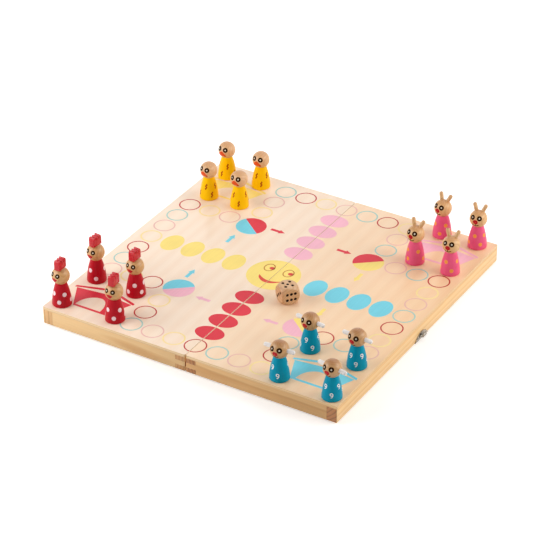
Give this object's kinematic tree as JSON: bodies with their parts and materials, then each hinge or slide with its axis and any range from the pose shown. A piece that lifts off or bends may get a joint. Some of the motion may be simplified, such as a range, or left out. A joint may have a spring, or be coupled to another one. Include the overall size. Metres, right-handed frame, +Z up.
{
  "type": "ludo game",
  "caption": "Folding wooden case that opens flat into a ludo board, with turned animal pawns in four colours and a round-cornered die",
  "frame": {"origin": "on the surface the open case stands on, below the middle of the whole object's length and width; the seam between the two halves runs along Y at x = 0.0042 m", "axes": "+Z up out of the playing side; +X across the seam, from the left half with the hasp to the right half with the catch plate; +Y along the seam, away from the edge that the picture shows"},
  "size_m": [0.3171, 0.3, 0.0647],
  "materials": {
    "pine": "sanded and clear varnished solid pine, satin",
    "birch_plywood": "printed and clear varnished birch plywood, satin",
    "nickel_plate": "stamped steel, nickel plated",
    "steel_wire": "drawn wire",
    "beech": "turned and tumbled, clear waxed",
    "red_paint": "turned beech, lower part dipped in gloss red paint, head left bare",
    "comb_paint": "beech, satin red paint",
    "yellow_paint": "turned beech, lower part dipped in gloss yellow paint, head left bare",
    "pink_paint": "turned beech, lower part dipped in gloss pink paint, head left bare",
    "teal_paint": "turned beech, lower part dipped in gloss teal paint, head left bare",
    "white_paint": "beech peg, satin white paint"
  },
  "bodies": {
    "right_case": {"right_front_wall": "pine", "right_back_wall": "pine", "right_outer_wall": "pine", "right_seam_wall": "pine", "right_top_panel": "birch_plywood", "hinge_front_leaf_right": "nickel_plate", "hinge_back_leaf_right": "nickel_plate", "hinge_front_pin": "steel_wire", "hinge_back_pin": "steel_wire", "catch_plate": "nickel_plate"},
    "left_case": {"left_front_wall": "pine", "left_back_wall": "pine", "left_outer_wall": "pine", "left_seam_wall": "pine", "left_top_panel": "birch_plywood", "hinge_front_leaf_left": "nickel_plate", "hinge_back_leaf_left": "nickel_plate", "hasp_plate": "nickel_plate", "hasp_pin": "steel_wire"},
    "hasp": {"hasp_tongue": "nickel_plate"},
    "hen_pawn_1": {"hen_1": "red_paint", "hen_1_comb": "comb_paint"},
    "hen_pawn_2": {"hen_2": "red_paint", "hen_2_comb": "comb_paint"},
    "hen_pawn_3": {"hen_3": "red_paint", "hen_3_comb": "comb_paint"},
    "hen_pawn_4": {"hen_4": "red_paint", "hen_4_comb": "comb_paint"},
    "duck_pawn_1": {"duck_1": "yellow_paint"},
    "duck_pawn_2": {"duck_2": "yellow_paint"},
    "duck_pawn_3": {"duck_3": "yellow_paint"},
    "duck_pawn_4": {"duck_4": "yellow_paint"},
    "rabbit_pawn_1": {"rabbit_1": "pink_paint", "rabbit_1_ear_right": "beech", "rabbit_1_ear_left": "beech"},
    "rabbit_pawn_2": {"rabbit_2": "pink_paint", "rabbit_2_ear_right": "beech", "rabbit_2_ear_left": "beech"},
    "rabbit_pawn_3": {"rabbit_3": "pink_paint", "rabbit_3_ear_right": "beech", "rabbit_3_ear_left": "beech"},
    "rabbit_pawn_4": {"rabbit_4": "pink_paint", "rabbit_4_ear_right": "beech", "rabbit_4_ear_left": "beech"},
    "sheep_pawn_1": {"sheep_1": "teal_paint", "sheep_1_ear_right": "white_paint", "sheep_1_ear_left": "white_paint"},
    "sheep_pawn_2": {"sheep_2": "teal_paint", "sheep_2_ear_right": "white_paint", "sheep_2_ear_left": "white_paint"},
    "sheep_pawn_3": {"sheep_3": "teal_paint", "sheep_3_ear_right": "white_paint", "sheep_3_ear_left": "white_paint"},
    "sheep_pawn_4": {"sheep_4": "teal_paint", "sheep_4_ear_right": "white_paint", "sheep_4_ear_left": "white_paint"},
    "die_cube": {"die": "beech"}
  },
  "joints": [
    {"name": "case_fold", "type": "hinge", "parent": "right_case", "child": "left_case", "pos_m": [0.00421, 0, 0.00125], "axis": [0, -1, 0], "range_deg": [0, 180]},
    {"name": "hasp_swing", "type": "hinge", "parent": "left_case", "child": "hasp", "pos_m": [-0.14729, 0, 0.003], "axis": [0, -1, 0], "range_deg": [-97.9, 77.1]},
    {"name": "hen_1_lift", "type": "slide", "parent": "left_case", "child": "hen_pawn_1", "axis": [0, 0, 1], "range_m": [0, 0.06]},
    {"name": "hen_2_lift", "type": "slide", "parent": "left_case", "child": "hen_pawn_2", "axis": [0, 0, 1], "range_m": [0, 0.06]},
    {"name": "hen_3_lift", "type": "slide", "parent": "left_case", "child": "hen_pawn_3", "axis": [0, 0, 1], "range_m": [0, 0.06]},
    {"name": "hen_4_lift", "type": "slide", "parent": "left_case", "child": "hen_pawn_4", "axis": [0, 0, 1], "range_m": [0, 0.06]},
    {"name": "duck_1_lift", "type": "slide", "parent": "left_case", "child": "duck_pawn_1", "axis": [0, 0, 1], "range_m": [0, 0.06]},
    {"name": "duck_2_lift", "type": "slide", "parent": "left_case", "child": "duck_pawn_2", "axis": [0, 0, 1], "range_m": [0, 0.06]},
    {"name": "duck_3_lift", "type": "slide", "parent": "left_case", "child": "duck_pawn_3", "axis": [0, 0, 1], "range_m": [0, 0.06]},
    {"name": "duck_4_lift", "type": "slide", "parent": "left_case", "child": "duck_pawn_4", "axis": [0, 0, 1], "range_m": [0, 0.06]},
    {"name": "rabbit_1_lift", "type": "slide", "parent": "right_case", "child": "rabbit_pawn_1", "axis": [0, 0, 1], "range_m": [0, 0.06]},
    {"name": "rabbit_2_lift", "type": "slide", "parent": "right_case", "child": "rabbit_pawn_2", "axis": [0, 0, 1], "range_m": [0, 0.06]},
    {"name": "rabbit_3_lift", "type": "slide", "parent": "right_case", "child": "rabbit_pawn_3", "axis": [0, 0, 1], "range_m": [0, 0.06]},
    {"name": "rabbit_4_lift", "type": "slide", "parent": "right_case", "child": "rabbit_pawn_4", "axis": [0, 0, 1], "range_m": [0, 0.06]},
    {"name": "sheep_1_lift", "type": "slide", "parent": "right_case", "child": "sheep_pawn_1", "axis": [0, 0, 1], "range_m": [0, 0.06]},
    {"name": "sheep_2_lift", "type": "slide", "parent": "right_case", "child": "sheep_pawn_2", "axis": [0, 0, 1], "range_m": [0, 0.06]},
    {"name": "sheep_3_lift", "type": "slide", "parent": "right_case", "child": "sheep_pawn_3", "axis": [0, 0, 1], "range_m": [0, 0.06]},
    {"name": "sheep_4_lift", "type": "slide", "parent": "right_case", "child": "sheep_pawn_4", "axis": [0, 0, 1], "range_m": [0, 0.06]},
    {"name": "die_lift", "type": "slide", "parent": "right_case", "child": "die_cube", "axis": [0, 0, 1], "range_m": [0, 0.06]}
  ]
}
